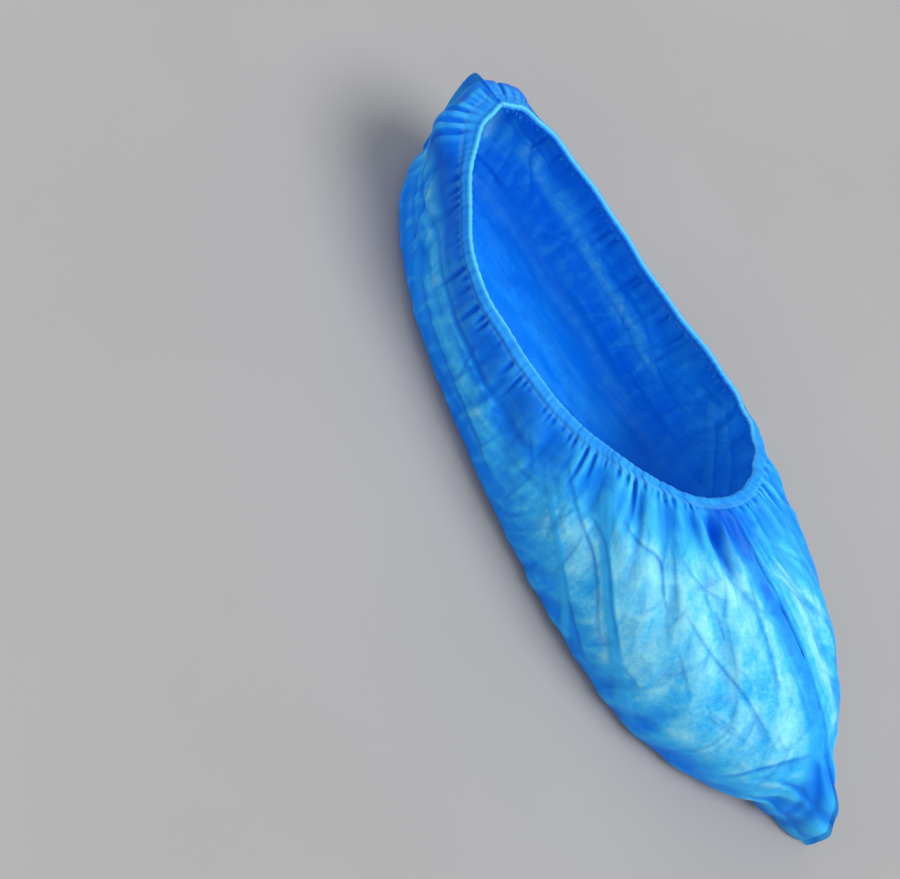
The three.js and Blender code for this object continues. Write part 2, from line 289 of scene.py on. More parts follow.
# Gathers and main folds that the solid has too. A fold's row: turn at the upper and lower end, from, peak
# and to (mm down from the hem), half width and inward depth (mm)
gathers = {
    "count": 26,
    "depth": 1.1,
    "atHem": 0.45,            # share of their depth at the hem, and where the rest sets in
    "start": (6.4, 12),
    "end": (12, 30),
}
mainFolds = {
    "hollow under the hem front": (0.94, 0.955, 7, 18, 54, 5, 3.4),
    "vamp fold right of the seam": (0.045, 0.035, 8, 40, 110, 6, 1.8),
    "vamp fold outer right": (0.11, 0.085, 7, 35, 96, 6, 1.6),
    "vamp fold left": (0.9, 0.93, 8, 40, 120, 6, 1.8),
    "vamp fold outer left": (0.855, 0.885, 8, 36, 104, 6, 1.6),
    "side fold left": (0.79, 0.835, 10, 36, 80, 7, 2.0),
    "waist fold left": (0.7, 0.75, 7, 26, 50, 8, 2.4),
    "waist fold right": (0.29, 0.24, 7, 26, 50, 8, 2.2),
    "heel fold left": (0.59, 0.61, 7, 24, 46, 6, 1.8),
    "heel fold right": (0.41, 0.39, 7, 24, 46, 6, 1.8),
}

# Corners of the bag drawn out at the seams: turn, from, peak and to (mm down), half width, reach (mm),
# lean towards +X and droop for each mm of reach
corners = {
    "toe tail": (0.0, 106, 152, 172, 5.6, 22, 0.36, 0.28),
    "tail ruffle left": (0.984, 116, 148, 168, 3.2, 5, 0.2, 0.3),
    "tail ruffle right": (0.014, 112, 146, 168, 3.2, 4, 0.5, 0.3),
    "heel ear": (0.5, 1, 13, 50, 20, 8, 0.3, 0),
    "ear shoulder": (0.54, 1, 13, 42, 12, 5.5, -0.3, 0),
    "inner ear shoulder": (0.467, 1, 13, 40, 12, 4, 0.2, 0),
}


def foldShape(layer, top, low, start, peak, end, width):
    # 1 on the line of a fold at its peak, falling off to its sides and its ends
    t = np.clip((layer.down - start) / (end - start), 0, 1)
    offset = layer.turn - (top + (low - top) * t)
    across = (offset - np.round(offset)) * (420 + 280 * t) / width      # mm for a turn, at the hem and below
    return between((start, peak), (peak, end), layer.down) * np.exp(-across ** 2)


def mainRelief(layer):
    wave = np.cos(2 * np.pi * gathers["count"] * layer.turn) * layer.strength * gathers["depth"]
    growth = gathers["atHem"] + (1 - gathers["atHem"]) * smooth(*gathers["start"], layer.down)
    relief = wave * (1 - smooth(*gathers["end"], layer.down)) * growth
    for *shape, depth in mainFolds.values():
        relief = relief - depth * foldShape(layer, *shape)
    return relief, wave


def cornerReach(layer):
    # how far the bag's corners stand out, lean sideways and droop
    moved = np.zeros((3,) + layer.down.shape)
    for turn, *shape, reach, lean, droop in corners.values():
        drawn = reach * foldShape(layer, turn, turn, *shape)
        moved += [drawn, lean * drawn, droop * drawn]
    return moved


# Pleats from the hem, with their spacing, length and depth in mm. Sway: mm to the sides, and where it sets
# in. A noise: its size around and down, and its seed
finePleats = {
    "gap": (1.5, 4.4),
    "seed": 11,
    "sway": 2.0,
    "swayNoise": (14, 11, 3),
    "swayStart": (8, 34),
    "length": (7, 12),
    "longShare": 0.22,
    "longStretch": (1.6, 2.8),
    "share": (0.45, 1.0),
    "depth": 2.7,
    "start": (4.4, 7.0),
    "end": (0.3, 1.0),        # in shares of a pleat's length
}
longFolds = {
    "gap": (4.5, 10.0),
    "seed": 23,
    "sway": 6,
    "swayNoise": (30, 22, 5),
    "swayStart": (8, 50),
    "length": (20, 60),
    "share": (0.15, 1.0),
    "depth": 1.3,
    "start": (6, 16),
    "end": (0.4, 1.0),
    "lessOnFlank": 0.65,
}
flankFolds = {
    "spacing": 11,
    "slant": 120,
    "depth": 0.7,
    "start": (12, 20),
    "bend": 3.4,
    "bendNoise": (55, 30, 71),
    "brokenNoise": (38, 9, 72),
    "broken": (0.3, 0.6),
}


def unevenPleats(layer, pleats):
    # 1 in a pleat's valley and 0 on the ridges between, the pleat's number, their count and a random draw
    sway = pleats["sway"] * (filmNoise(layer, *pleats["swayNoise"]) - 0.5)
    sway = sway * smooth(*pleats["swayStart"], layer.down)
    draw = np.random.default_rng(pleats["seed"])
    gaps = draw.uniform(*pleats["gap"], int(layer.hemTotal / np.mean(pleats["gap"])))
    centres = np.cumsum(gaps) * layer.hemTotal / gaps.sum()
    place = (layer.place + sway) % layer.hemTotal
    phase = np.interp(place, np.concatenate([[0], centres]), np.arange(len(centres) + 1))
    number = np.round(phase).astype(int) % len(centres)
    valley = 0.5 + 0.5 * np.cos(2 * np.pi * phase)
    return valley, number, len(centres), draw


def hemPleats(layer):
    # valleys of the fine pleats, each pleat's own depth and how far along its length a point is
    valley, number, count, draw = unevenPleats(layer, finePleats)
    length = draw.uniform(*finePleats["length"], count)
    longOnes = draw.random(count) < finePleats["longShare"]
    length[longOnes] *= draw.uniform(*finePleats["longStretch"], longOnes.sum())
    share = draw.uniform(*finePleats["share"], count)
    return valley, share[number], layer.down / length[number]


def longFoldField(layer):
    valley, number, count, draw = unevenPleats(layer, longFolds)
    length = draw.uniform(*longFolds["length"], count)
    share = draw.uniform(*longFolds["share"], count)
    fold = valley ** 4 * share[number] * smooth(*longFolds["start"], layer.down)
    fold = fold * (1 - smooth(*longFolds["end"], layer.down / length[number]))
    return fold * (1 - longFolds["lessOnFlank"] * layer.flank)


def flankFoldField(layer):
    # lengthwise folds along the flanks
    bend = flankFolds["bend"] * filmNoise(layer, *flankFolds["bendNoise"])
    phase = layer.down / flankFolds["spacing"] + bend + layer.place / flankFolds["slant"]
    fold = (0.5 + 0.5 * np.cos(2 * np.pi * phase)) ** 2 * layer.flank
    broken = smooth(*flankFolds["broken"], filmNoise(layer, *flankFolds["brokenNoise"]))
    return fold * smooth(*flankFolds["start"], layer.down) * broken


# Sharp creases: half width, depth, and the turns and distances down from the hem that they pass
creases = {
    "long side crease": (0.9, 0.9, ((0.765, 13), (0.795, 32), (0.815, 43), (0.84, 72))),
    "low side crease": (0.9, 0.8, ((0.80, 51), (0.825, 72), (0.845, 88))),
    "second side crease": (0.9, 0.8, ((0.795, 26), (0.815, 33), (0.835, 55), (0.86, 80))),
    "kinked crease": (0.8, 0.9, ((0.82, 21), (0.835, 27), (0.86, 29), (0.863, 41), (0.868, 48))),
    "short vamp crease": (0.8, 0.6, ((0.88, 26), (0.90, 36), (0.925, 41))),
    "long vamp crease": (0.8, 0.8, ((0.883, 46), (0.91, 64), (0.935, 78), (0.96, 104))),
    "vamp tick": (0.7, 0.5, ((0.915, 46), (0.92, 57))),
    "crease beside the seam": (0.8, 0.8, ((0.975, 34), (0.962, 50), (0.964, 62), (0.96, 85))),
    "left leg of the hollow": (1.0, 1.2, ((0.977, 5), (0.962, 12), (0.95, 22))),
    "right leg of the hollow": (1.0, 1.2, ((1.01, 5), (1.003, 14), (0.996, 28))),
    "right vamp crease": (0.8, 0.8, ((1.022, 19), (1.036, 39), (1.065, 65))),
    "right vamp branch": (0.8, 0.7, ((1.007, 31), (1.042, 47), (1.06, 63))),
    "right hem crease": (0.9, 0.8, ((1.135, 11), (1.115, 42))),
    "right front crease": (0.9, 1.1, ((0.155, 24), (0.135, 50), (0.115, 84))),
    "right low crease": (0.9, 1.0, ((0.175, 44), (0.16, 66), (0.14, 94))),
    "right toe crease": (0.9, 0.9, ((0.10, 36), (0.09, 60), (0.072, 92))),
    "right side crease": (0.9, 1.1, ((0.228, 26), (0.205, 50), (0.18, 76))),
    "right toe fold": (1.2, 1.0, ((0.09, 122), (0.055, 112), (0.02, 110))),
    "toe cap fold": (1.4, 1.1, ((0.935, 124), (0.952, 110), (0.988, 108))),
    "tail fold left": (1.1, 1.9, ((0.999, 139), (0.988, 129), (0.965, 121))),
    "tail fold low left": (1.1, 1.7, ((0.997, 150), (0.982, 141), (0.96, 137))),
    "tail fold along": (1.0, 1.4, ((0.986, 124), (0.99, 138), (0.985, 152))),
    "tail pleat left": (0.8, 1.7, ((0.9925, 112), (0.9945, 130), (0.993, 158))),
    "tail pleat right": (0.8, 1.6, ((1.008, 110), (1.006, 128), (1.0075, 156))),
    "tail fold right": (1.1, 1.8, ((1.001, 134), (1.014, 125), (1.035, 119))),
    "tail fold low right": (1.1, 1.6, ((1.003, 148), (1.018, 139), (1.035, 136))),
    "long flank fold": (1.4, 1.2, ((0.60, 34), (0.65, 33), (0.70, 36), (0.745, 46))),
    "ear fold upper": (1.6, 1.6, ((0.502, 9), (0.52, 10), (0.545, 8))),
    "ear fold middle": (1.6, 1.4, ((0.502, 16), (0.525, 19), (0.55, 17))),
    "ear fold low": (1.4, 1.0, ((0.505, 26), (0.53, 28), (0.56, 33))),
    "inner ear fold upper": (1.6, 1.5, ((0.498, 11), (0.475, 12), (0.45, 9))),
    "inner ear fold low": (1.5, 1.2, ((0.496, 21), (0.47, 23), (0.44, 26))),
    "inner side crease": (0.9, 0.8, ((0.235, 14), (0.205, 34), (0.185, 60))),
    "inner low crease": (0.9, 0.8, ((0.20, 52), (0.175, 74), (0.155, 92))),
    "inner heel crease": (1.0, 0.9, ((0.44, 12), (0.425, 28), (0.40, 44))),
    "outer heel crease": (1.0, 0.9, ((0.555, 10), (0.57, 26), (0.60, 42))),
}

# Fine creases: how many, seed, first and last turn, spread of their slope
fineCreaseFields = {
    "all round": (70, 90, 0.0, 1.0, 0.5),
    "vamp": (55, 91, 0.86, 1.09, 0.7),
}
fineCrease = {
    "halfWidth": 0.7,
    "depth": (0.25, 0.6),
    "length": (8, 30),
    "top": 14,
    "lowFront": 100,          # lowest start at the front, and at the flanks and the heel
    "lowBack": 40,
    "metric": 560,            # mm around the cover at half its height
}

# Strips where the film is doubled over itself: half width and path of (turn, mm down)
doubledStrips = {
    "wide strip left": (2.4, ((0.797, 14), (0.81, 32), (0.83, 52), (0.855, 80), (0.885, 112))),
    "narrow strip left": (1.5, ((0.762, 24), (0.79, 44), (0.815, 66), (0.835, 92))),
    "strip right of the seam": (1.8, ((0.03, 14), (0.06, 40), (0.075, 70), (0.07, 100))),
    "wide strip right": (2.4, ((0.2, 14), (0.185, 34), (0.165, 58), (0.14, 90))),
    "narrow strip right": (1.5, ((0.24, 20), (0.215, 42), (0.195, 66))),
}

# Lengthwise strips where the flanks lie close to what is inside: half width and path
flankStrips = {
    "left": (6, ((0.56, 27), (0.61, 24), (0.65, 25), (0.69, 31), (0.75, 41))),
    "right": (6, ((0.44, 29), (0.39, 26), (0.35, 27), (0.31, 32), (0.25, 42))),
}


def softened(path):
    # round the corners of a crease's path by cutting them twice
    points = np.array(path, float)
    for _ in range(2):
        cut = [points[0]]
        for first, second in zip(points, points[1:]):
            cut += [0.75 * first + 0.25 * second, 0.25 * first + 0.75 * second]
        points = np.array(cut + [points[-1]])
    return points


def fineCreases():
    # short straight creases scattered over the sides, most of them near the line of the meridians
    rows = []
    for count, seed, first, last, spread in fineCreaseFields.values():
        draw = np.random.default_rng(seed)
        for _ in range(count):
            turn = first + (last - first) * draw.random()
            lowest = fineCrease["lowFront"] if abs(turn - 0.5) > 0.3 else fineCrease["lowBack"]
            down = draw.uniform(fineCrease["top"], lowest)
            length = draw.uniform(*fineCrease["length"])
            slope = draw.normal(0, spread)
            depth = draw.uniform(*fineCrease["depth"])
            across = length * math.sin(slope) / fineCrease["metric"]
            path = ((turn, down), (turn + across, down + length * math.cos(slope)))
            rows.append((fineCrease["halfWidth"], depth, path))
    return rows


def pathDistance(layer, path):
    # signed distance to a path on the film in mm, and share of its length
    best = np.full(layer.down.shape, 1e6)
    signed = np.zeros(layer.down.shape)
    share = np.zeros(layer.down.shape)
    points = softened(path)
    for k, ((turnA, downA), (turnB, downB)) in enumerate(zip(points, points[1:])):
        offset = layer.turn - turnA
        x = (offset - np.round(offset)) * layer.metric
        y = layer.down - downA
        sx = (turnB - turnA) * layer.metric
        sy = downB - downA
        t = np.clip((x * sx + y * sy) / (sx * sx + sy * sy), 0, 1)
        distance = np.hypot(x - t * sx, y - t * sy)
        nearer = distance < best
        best = np.where(nearer, distance, best)
        signed = np.where(nearer, np.sign(x * sy - y * sx), signed)
        share = np.where(nearer, (k + t) / (len(points) - 1), share)
    return signed * best, share


# Section across a lapped crease, in half widths, and its painted line of shade
lap = {
    "raised": 0.5,            # share of the depth on the upper side, and how far it runs out
    "raisedRun": 6,
    "sunk": -0.3,             # the same on the lower side
    "sunkRun": 2.5,
    "edge": 0.8,
    "lineAt": 0.7,
    "shadeLineWidth": 0.9,
}


def creaseField(layer):
    # lapped creases: the film stands up on one side and drops sharply on the other, and a mask of the
    # painted shade along their lines
    height = np.zeros(layer.down.shape)
    mask = np.zeros(layer.down.shape)
    for halfWidth, depth, path in list(creases.values()) + fineCreases():
        away, share = pathDistance(layer, path)
        away = away / halfWidth
        taper = np.clip(4 * share * (1 - share), 0, 1) ** 0.8
        raised = lap["raised"] * np.exp(-np.clip(away, 0, None) / lap["raisedRun"])
        sunk = lap["sunk"] * np.exp(np.clip(away, None, 0) / lap["sunkRun"])
        turnOver = 0.5 + 0.5 * np.tanh(away / lap["edge"])
        height += depth * taper * (raised * turnOver + sunk * (1 - turnOver))
        line = bell(away + lap["lineAt"], lap["shadeLineWidth"])
        mask = np.maximum(mask, taper * line * min(1, 0.1 + 0.5 * depth))     # deep creases get more painted shade
    return height, mask


def stripMask(layer, strips, soft):
    # 1 on the strips, falling off over a soft edge and towards their ends
    mask = np.zeros(layer.down.shape)
    for halfWidth, path in strips.values():
        away, share = pathDistance(layer, path)
        ends = between((0, 0.12), (0.8, 1), share)
        edge = 1 - smooth(halfWidth * (1 - soft), halfWidth * (1 + soft), np.abs(away))
        mask = np.maximum(mask, ends * edge)
    return mask


# Crumple. Pressed folds are tilted pleats: slope against the meridians, spacing, height, seed.
# Ridges: size around, slant, size down (mm), seed, height
crumple = {
    "start": (9, 26),
    "pressedFolds": ((0.22, 11.0, 0.8, 61), (-0.28, 14.0, 0.9, 62), (0.55, 19.0, 0.7, 63),
                     (-0.7, 23.0, 0.6, 64), (0.08, 7.0, 0.5, 65)),
    "pressedStretch": 1.35,   # the sides are this much longer than the hem
    "pressedBend": 5,
    "bendSize": (33, 33),
    "windowSize": (26, 24),
    "window": (0.42, 0.72),
    "lessOnFlank": 0.7,
    "ridges": ((5.5, 31, 15, 41, 0.55), (2.7, -40, 8, 43, 0.3)),
    "ridgesAtToe": 2.2,       # how much more of them the loose toe has
    "broadHeight": 1.2,
    "broadNoise": (17, 26, 31),
    "soleHeight": 1.6,
    "soleNoise": (9, 14, 51),
    "soleLevel": 0.15,        # lowest height of the film before its seams are drawn out
}


def pressedRelief(layer):
    # straight pressed folds that come and go over the film
    relief = np.zeros(layer.down.shape)
    for slope, spacing, height, seed in crumple["pressedFolds"]:
        bend = crumple["pressedBend"] * filmNoise(layer, *crumple["bendSize"], seed)
        phase = (layer.place * crumple["pressedStretch"] + slope * layer.down + bend) / spacing
        fold = np.abs(phase - np.floor(phase) - 0.5) * 2
        window = smooth(*crumple["window"], filmNoise(layer, *crumple["windowSize"], seed + 100))
        relief += height * (fold - 0.5) * window
    return relief * (1 - crumple["lessOnFlank"] * layer.flank)


def crumpleRelief(layer):
    ridges = np.zeros(layer.down.shape)
    for around, slant, below, seed, height in crumple["ridges"]:
        noise = latticeNoise(layer.place / around + layer.down / slant, layer.down / below, seed)
        ridges += (0.30 - np.abs(2 * noise - 1)) * height
    ridges = ridges * (1 + crumple["ridgesAtToe"] * layer.looseToe)
    broad = crumple["broadHeight"] * (filmNoise(layer, *crumple["broadNoise"]) - 0.5)
    return (ridges + broad + pressedRelief(layer)) * smooth(*crumple["start"], layer.down)


# Hem: its roll over the elastic, the welded line below it and the flap inside. Rows of the flap and of the
# outside: inset, more of it in a pleat's valley, drop and share of the painted highlight
hem = {
    "radius": 1.35,
    "valleyRadius": 0.24,     # less of it in a pleat's valley
    "centre": 2.2,            # the elastic's depth below and behind the top of the hem
    "arc": 10,
    "flap": ((1.5, 2.6, 6.5, 0), (1.2, 1.1, 5.3, 0.12), (2.5, 0.4, 3.71, 0.1)),
    "outside": (0.45, 0.34, 3.2, 0.1),
    "weldDown": 5.3,          # the weld's groove: place, depth and half width
    "weldDepth": 0.5,
    "weldWidth": 0.6,
    "lift": 0.45,             # share of the gathers' wave that the hem follows
}


def hemRows(layer, lift, valley):
    # rows from the flap's edge over the roll to the outside, the outward direction, and the share of the
    # painted highlight for each row
    along = unit(loopStep(layer.turns, 0.0016, hemXYZ))
    outward = unit(np.cross(layer.firstDown, along))
    downward = np.cross(along, outward)
    downward *= np.sign((downward * layer.firstDown).sum(1, keepdims=True))
    top = loopAt(layer.turns)[:, hemXYZ] + outward * lift[:, None]
    centre = hem["centre"]
    radius = hem["radius"] - hem["valleyRadius"] * valley
    section = [(inset + more * valley, drop, edge) for inset, more, drop, edge in hem["flap"]]
    for angle in np.linspace(math.pi, 0, hem["arc"]):
        inset = centre - radius * math.cos(angle)
        drop = centre - radius * math.sin(angle)
        section.append((inset, drop, 0.1 + 0.9 * math.sin(angle) ** 8))      # painted highlight, brightest along its top
    inset, more, drop, edge = hem["outside"]
    section.append((inset + more * valley, drop, edge))
    rows = []
    for inset, drop, _ in section:
        rows.append(top - outward * np.reshape(inset, (-1, 1)) + downward * np.reshape(drop, (-1, 1)))
    return np.array(rows), outward, np.array([edge for _, _, edge in section])


def foldedFilm(layer):
    # relief along the layer's normals, before it settles on the sole, and the folds that get painted shade
    # too
    folds = SimpleNamespace()
    relief, folds.wave = mainRelief(layer)
    folds.valley, folds.pleatShare, folds.pleatRun = hemPleats(layer)
    pleat = folds.valley ** 2.2 * folds.pleatShare * (0.65 + 0.35 * layer.strength)
    pleat = pleat * (1 - smooth(*finePleats["end"], folds.pleatRun))
    pleat = pleat * smooth(*finePleats["start"], layer.down)
    folds.long = longFoldField(layer)
    folds.lengthwise = flankFoldField(layer)
    creaseHeight, folds.creaseMask = creaseField(layer)
    folds.doubled = stripMask(layer, doubledStrips, soft=0.55)
    folds.close = stripMask(layer, flankStrips, soft=0.8)
    relief = relief - finePleats["depth"] * pleat - longFolds["depth"] * folds.long
    relief = relief - flankFolds["depth"] * folds.lengthwise + film["doubledRise"] * folds.doubled
    folds.relief = relief + creaseHeight + crumpleRelief(layer)
    return folds


def settledBody(layer, folds):
    # the folded film with its corners drawn out, flat under the sole and close round the sole's edge
    settle = np.ones((len(layer.rows), 1))
    settle[layer.widestRow:layer.soleRow, 0] = np.linspace(1, 0.1, layer.soleRow - layer.widestRow)
    settle[layer.soleRow:] = 0
    weldGroove = hem["weldDepth"] * bell(layer.down - hem["weldDown"], hem["weldWidth"])
    folds.relief = folds.relief * settle - weldGroove
    folds.cornerOut, lean, droop = cornerReach(layer)
    body = layer.rows + layer.normal * (folds.relief + folds.cornerOut * settle)[:, :, None]
    body[:, :, 0] += lean * settle
    body[:, :, 2] -= droop * settle
    sizeX, sizeY, seed = crumple["soleNoise"]
    soleNoise = latticeNoise(layer.rows[:, :, 0] / sizeX + 50, layer.rows[:, :, 1] / sizeY + 50, seed)
    soleRidge = np.clip(0.5 - np.abs(2 * soleNoise - 1), 0, 1) * crumple["soleHeight"]
    onSole = np.zeros((len(layer.rows), 1))
    onSole[layer.soleRow:, 0] = smooth(0, 3, np.arange(len(layer.rows) - layer.soleRow))
    body[:, :, 2] = np.maximum(body[:, :, 2], crumple["soleLevel"]) + soleRidge * onSole
    return body


# Fin of a welded seam
seamFin = {
    "half": 0.15,             # half its thickness
    "wave": 1.6,
    "apart": 2.4,             # how far the two films stand from each other near the root
    "ripple": 4.3,            # length of its waves, and of the slanted ones
    "slanted": 2.3,
}


def seamDirections(seam, rowDown, rowNormal, rowUp):
    # outward reach of the two welded films at each row of a seam, their sideways direction and width
    down, width, lean, level = np.array(seam["fin"], float).T
    reach = rowNormal.copy()
    reach[:, 2] *= 1 - np.interp(rowDown, down, level)
    reach = unit(reach)
    angle = np.radians(np.interp(rowDown, down, lean))[:, None]
    turned = reach * np.cos(angle) + np.cross(rowUp, reach) * np.sin(angle)
    return turned, unit(np.cross(rowUp, turned)), np.interp(rowDown, down, width)


def drawSeams(layer, sheet, sheetDown, hemOut):
    # draw the seam columns of the sheet out into the welded fins, with masks of the fins and of the painted
    # shade in their folds
    hemCount = len(sheet) - len(layer.rows)
    lowest = hemCount + layer.widestRow
    fin = np.zeros(sheetDown.shape)
    finFoldShade = np.zeros(sheetDown.shape)
    for seam, columns in layer.seams:
        line = columns[np.argmin(layer.share[columns])]
        up = -np.gradient(sheet[:, line], axis=0)
        up[:hemCount] = up[hemCount]
        up[lowest:] = up[lowest - 1]
        outward = np.concatenate([np.tile(hemOut[line], (hemCount, 1)), layer.normal[:, line]])
        outward[lowest:] = outward[lowest - 1]
        run = sheetDown[:, line]
        reach, across, width = seamDirections(seam, run, outward, unit(up))
        base = sheet[:, line].copy()
        for column in columns:
            s = layer.share[column]
            slanted = np.sin((run + 2.2 * width * s) / seamFin["slanted"])
            ripple = np.sin(run / seamFin["ripple"] + 3 * s) + 0.35 * slanted
            wavy = seamFin["wave"] * ripple * s ** 1.2 * smooth(4, 14, width)
            apart = seamFin["apart"] * (1 - s) ** 2 * s * 4 * smooth(4, 12, width)
            thick = (seamFin["half"] * (1 - 0.75 * s) + apart) * layer.side[column]
            sheet[:, column] = base + reach * (width * s)[:, None] + across * (thick + wavy)[:, None]
            fin[:, column] = s * smooth(0.8, 5, width)
            finFoldShade[:, column] = 0.4 * smooth(3, 9, width) * np.clip(-slanted, 0, 1)
    return fin, finFoldShade


def blurred(grid, reach):
    # mean of each point's surroundings, so many rows and columns to each side
    padded = np.pad(grid, [(side, side) for side in reach], mode="edge")
    windows = np.lib.stride_tricks.sliding_window_view(padded, [2 * side + 1 for side in reach])
    return windows.mean((2, 3))


# Paint: shares of what makes the painted shade in the folds and the deep blue painted shade, and how far each
# place takes the pale tone away or keeps it. Then the places themselves: mm left of the toe seam, width, and
# from where to where
paint = {
    "fold": {"pleat": 0.9, "long": 0.55, "lengthwise": 0.4, "cavity": 0.5, "hem": 0.55},
    "deepShade": {"hollow": 1.0, "ear": 0.3, "wedge": 0.45, "tailRoot": 0.45, "flankTop": 0.5},
    # less pale on the flanks, as painted shade
    "paleLess": {"band": 0.95, "standing": 0.75, "looseToe": 0.55, "flank": 0.75},
    # pale at least on the drawn-out corners, as painted light
    "paleAtLeast": {"close": 0.7, "corner": 0.5},
    # share of the welded line, in the mask that also holds the hem's painted highlight
    "weld": 0.45,
    "glintLessOnBand": 0.7,
    "pleatEnd": (0.5, 1.3),
    "cavityReach": (5, 7),    # rows and columns
    "cavityDepth": 0.5,
}
places = {
    "band": {"left": 2, "width": 3.4, "widening": 27, "down": (16, 40)},
    "hollow": {"turn": 0.975, "width": 8, "end": (10, 34)},
    "wedge": {"left": 2.5, "width": 3.2, "down": ((10, 24), (44, 74))},
    "tailRoot": {"left": 4, "width": 4, "down": ((108, 118), (122, 138)), "height": (2, 9)},
    "ear": {"turns": ((0.40, 0.46), (0.56, 0.62)), "end": (16, 40)},
    "flankTop": {"end": (14, 26)},
    # pale only from these heights up, so darker low down, where the film leaves the sole's edge and as
    # painted shade towards the floor; paler on the drawn-out corners as painted light
    "pale": {"down": (12, 38), "height": (9, 32), "corner": (5, 18)},
    "standing": {"low": (50, 95), "end": (0.2, 0.3)},
}


def deepShadePlaces(layer):
    # deep blue painted shade, partly film standing off what is inside: under the hem's front, at the heel,
    # beside the seam, and at the top of the flanks
    height = layer.rows[:, :, 2]
    hollow, wedge, root, ear = (places[name] for name in ("hollow", "wedge", "tailRoot", "ear"))
    offset = layer.turn - hollow["turn"]
    fromHollow = (offset - np.round(offset)) * layer.metric
    beside = bell(layer.fromSeam + root["left"], root["width"]) * smooth(*root["height"], height)
    masks = {
        "hollow": bell(fromHollow, hollow["width"]) * (1 - smooth(*hollow["end"], layer.down)),
        "ear": between(*ear["turns"], layer.turn) * (1 - smooth(*ear["end"], layer.down)),
        "wedge": bell(layer.fromSeam + wedge["left"], wedge["width"]) * between(*wedge["down"], layer.down),
        "tailRoot": beside * between(*root["down"], layer.down),
        "flankTop": layer.flank * (1 - smooth(*places["flankTop"]["end"], layer.down)),
    }
    return sum(paint["deepShade"][name] * grid for name, grid in masks.items())


def paleFilm(layer, folds, band):
    # pale where the film lies close to what is inside, less where it stands off; darker low down, where the
    # film leaves the sole's edge and as painted shade towards the floor; painted shade on the flanks, and
    # painted light on the drawn-out corners
    pale = places["pale"]
    low = smooth(*places["standing"]["low"], layer.down)
    setIn = smooth(0, 1, (layer.turn - 0.03 + 0.03 * low) / (0.07 - 0.02 * low))     # sooner low down
    standing = setIn * (1 - smooth(*places["standing"]["end"], layer.turn))
    lying = smooth(*pale["down"], layer.down) * smooth(*pale["height"], layer.rows[:, :, 2])
    less = {"band": band, "standing": standing, "looseToe": layer.looseToe, "flank": layer.flank}
    for name, grid in less.items():
        lying = lying * (1 - paint["paleLess"][name] * grid)
    lying = np.maximum(lying, paint["paleAtLeast"]["close"] * folds.close)
    return np.maximum(lying, paint["paleAtLeast"]["corner"] * smooth(*pale["corner"], folds.cornerOut))


def paintMasks(layer, folds):
    # painted shade where the film is folded, a painted highlight where it catches light, deep blue painted
    # shade, and where it is doubled and where it lies close to what is inside
    # hollows of the relief get painted shade and its ridges a painted highlight
    cavity = (folds.relief - blurred(folds.relief, paint["cavityReach"])) / paint["cavityDepth"]
    spot = places["band"]
    band = bell(layer.fromSeam + spot["left"], spot["width"] + layer.down / spot["widening"])
    band = band * smooth(*spot["down"], layer.down)
    pleat = folds.valley ** 4 * folds.pleatShare * (1 - smooth(*paint["pleatEnd"], folds.pleatRun))
    share = paint["fold"]
    # painted shade in the pleats' valleys, the folds, the creases and the hollows
    fold = share["pleat"] * pleat + share["long"] * folds.long + share["lengthwise"] * folds.lengthwise
    fold = fold + folds.creaseMask + share["cavity"] * np.clip(-cavity, 0, 1)
    return {
        "fold": np.clip(fold, 0, 1),
        "glint": np.clip(cavity, 0, 1) * (1 - paint["glintLessOnBand"] * band),
        "deepShade": np.clip(deepShadePlaces(layer), 0, 1),
        "flank": layer.flank,
        "doubled": folds.doubled,
        "lying": paleFilm(layer, folds, band),
        "weld": paint["weld"] * bell(layer.down - hem["weldDown"], 0.5),
    }


def buildLayer(start):
    # points (row, column, xyz) of one layer in metres, the film's own coordinates and its painted masks
    layer = smoothLayer(start)
    folds = foldedFilm(layer)
    body = settledBody(layer, folds)
    hemValley = folds.valley[0] ** 1.8 * folds.pleatShare[0]
    hemSheet, hemOut, hemHighlight = hemRows(layer, folds.wave[0] * hem["lift"], hemValley)
    sheet = np.concatenate([hemSheet, body])
    hemDown = np.linspace(film["hemStart"] - 4, film["hemStart"], len(hemSheet))
    sheetDown = np.concatenate([np.tile(hemDown[:, None], (1, len(layer.turns))), layer.down])
    fin, finFoldShade = drawSeams(layer, sheet, sheetDown, hemOut)
    sheet[:, :, 2] = np.maximum(sheet[:, :, 2], film["lowest"])

    onHem = np.ones(hemSheet.shape[:2])
    # painted shade in the hem's pleat valleys, and the painted highlight along its roll
    hemPaint = {"fold": paint["fold"]["hem"] * hemValley ** 1.5, "weld": hemHighlight[:, None]}
    masks = {}
    for name, grid in paintMasks(layer, folds).items():
        masks[name] = np.concatenate([onHem * hemPaint.get(name, 0), grid])
    masks["fold"] += finFoldShade
    own = np.stack([np.broadcast_to(layer.hemPlace, sheetDown.shape), sheetDown, fin * 10], -1)
    return sheet * mm, own * mm, masks


def layerMesh(name, sheet, own, masks):
    rowCount, columnCount = sheet.shape[:2]
    number = np.arange(rowCount * columnCount).reshape(rowCount, columnCount)
    faces = np.stack([number[:-1, :-1], number[1:, :-1], number[1:, 1:], number[:-1, 1:]], -1)
    mesh = bpy.data.meshes.new(name)
    mesh.from_pydata(sheet.reshape(-1, 3).tolist(), [], faces.reshape(-1, 4).tolist())
    for key, grid in masks.items():
        mask = mesh.attributes.new(key, "FLOAT", "POINT")
        mask.data.foreach_set("value", grid.astype(np.float32).ravel())
    place = mesh.attributes.new("own", "FLOAT_VECTOR", "POINT")
    place.data.foreach_set("vector", own.astype(np.float32).ravel())
    mesh.polygons.foreach_set("use_smooth", np.ones(len(mesh.polygons), bool))
    return mesh


